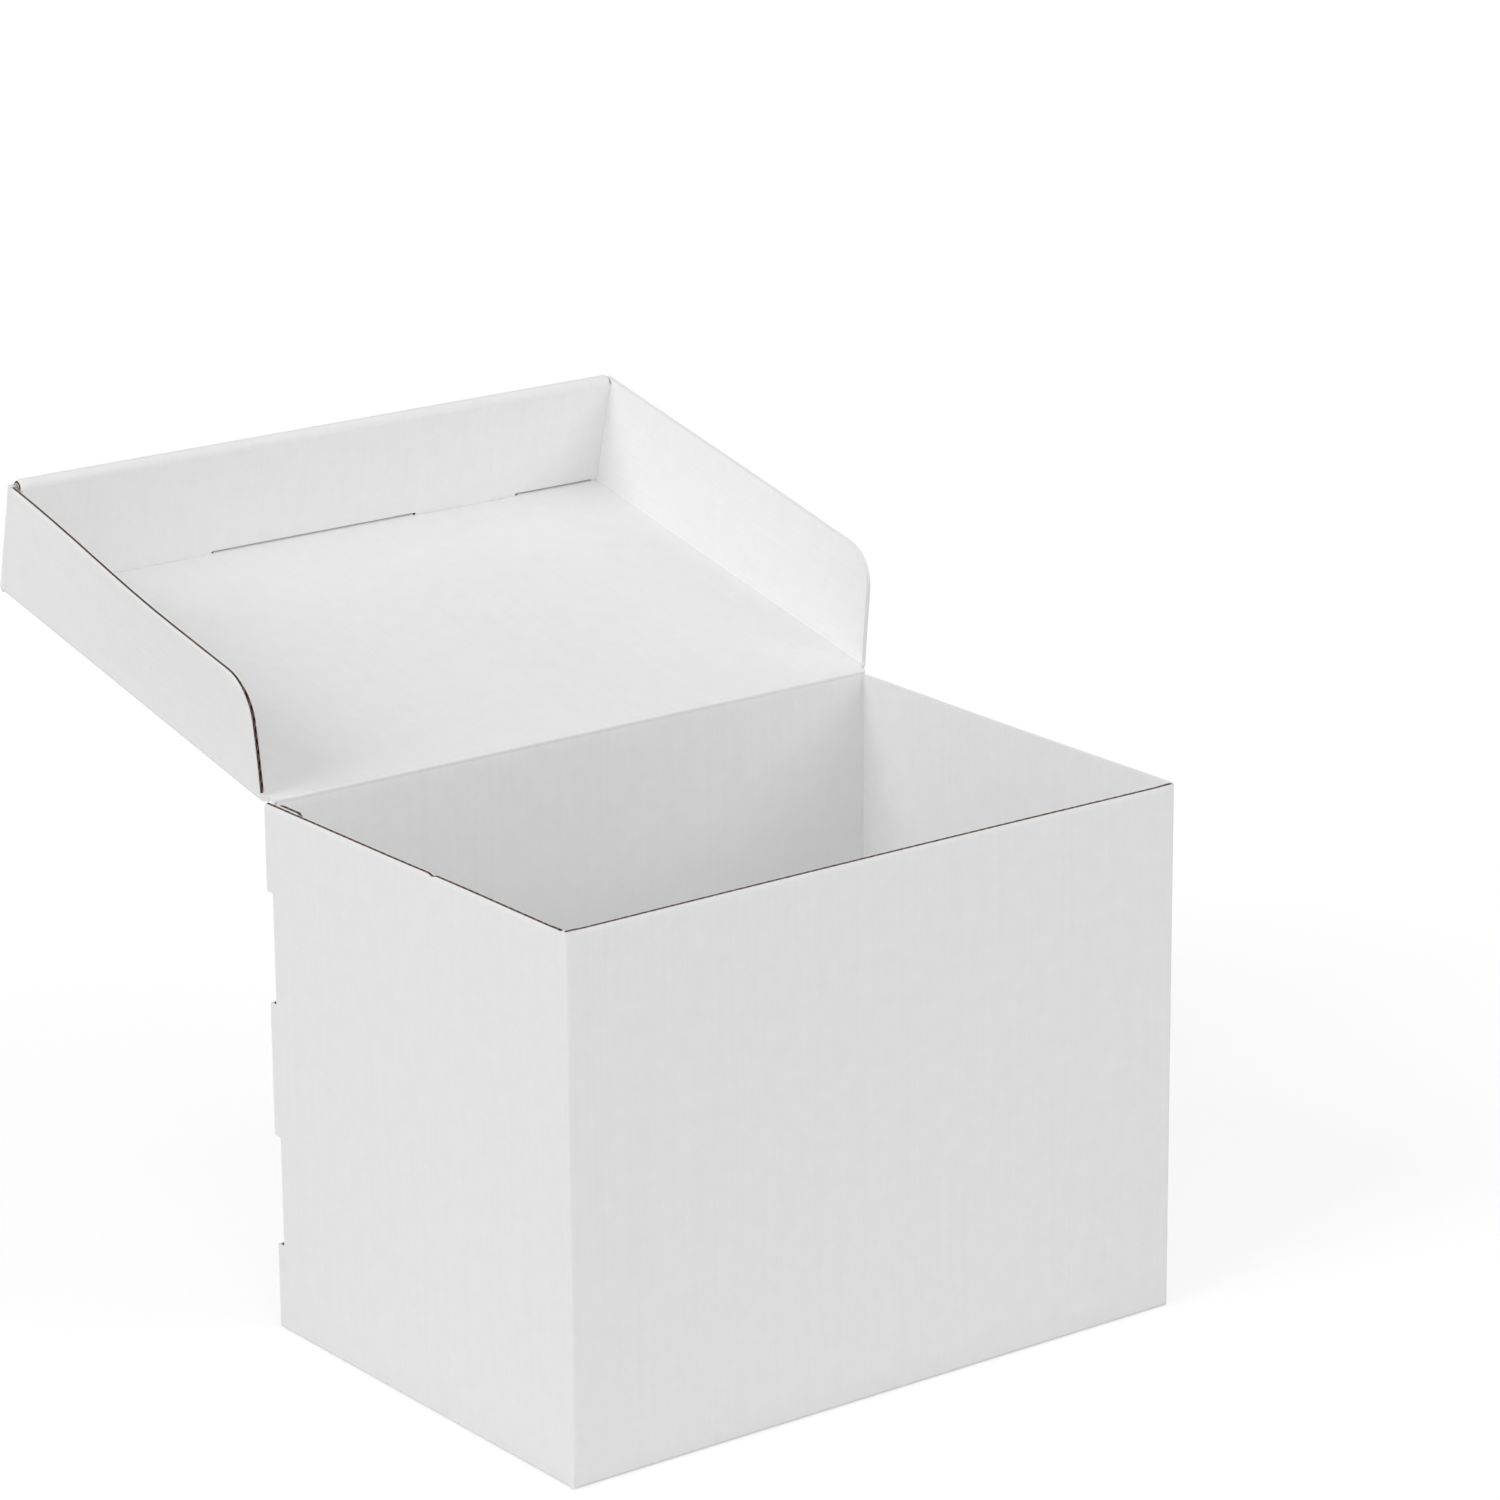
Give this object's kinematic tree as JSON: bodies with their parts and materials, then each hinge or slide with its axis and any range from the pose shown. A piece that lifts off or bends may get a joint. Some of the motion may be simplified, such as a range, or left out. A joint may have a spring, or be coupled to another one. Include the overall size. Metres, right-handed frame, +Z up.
{
  "type": "storage box with hinged lid",
  "caption": "Open white corrugated board storage box with a hinged tray lid, a double front edge on the lid and a fold-up header card in slits.",
  "frame": {"origin": "middle of the base's underside, on the surface that the box stands on", "axes": "+Z up, -Y towards the front wall, +X along the front to the right of someone facing it; the lid is hinged along the back and opens towards +Y"},
  "size_m": [0.215, 0.285, 0.2253],
  "materials": {
    "board": "matte white liner, brown fluted edges",
    "header_board": "matte white liner"
  },
  "bodies": {
    "base": {"front_wall": "board", "right_wall": "board", "back_wall": "board", "left_wall": "board", "corner_flap": "board", "bottom_front_flap": "board", "bottom_left_flap": "board", "bottom_right_flap": "board", "bottom_back_flap": "board"},
    "lid": {"lid_top": "board", "lid_left_flap": "board", "lid_right_flap": "board", "lid_left_dust_flap": "board", "lid_right_dust_flap": "board", "lid_front_outer": "board", "lid_front_hem": "board", "lid_front_inner": "board", "header_left_leg": "header_board", "header_right_leg": "header_board"},
    "header": {"header_plate": "header_board"}
  },
  "joints": [
    {"name": "lid_hinge", "type": "hinge", "parent": "base", "child": "lid", "pos_m": [0, 0.07, 0.15905], "axis": [-1, 0, 0], "range_deg": [-167.5, 12.5]},
    {"name": "header_fold", "type": "hinge", "parent": "lid", "child": "header", "pos_m": [0, 0.2114, 0.1863], "axis": [-1, 0, 0], "range_deg": [-90, 0]}
  ]
}
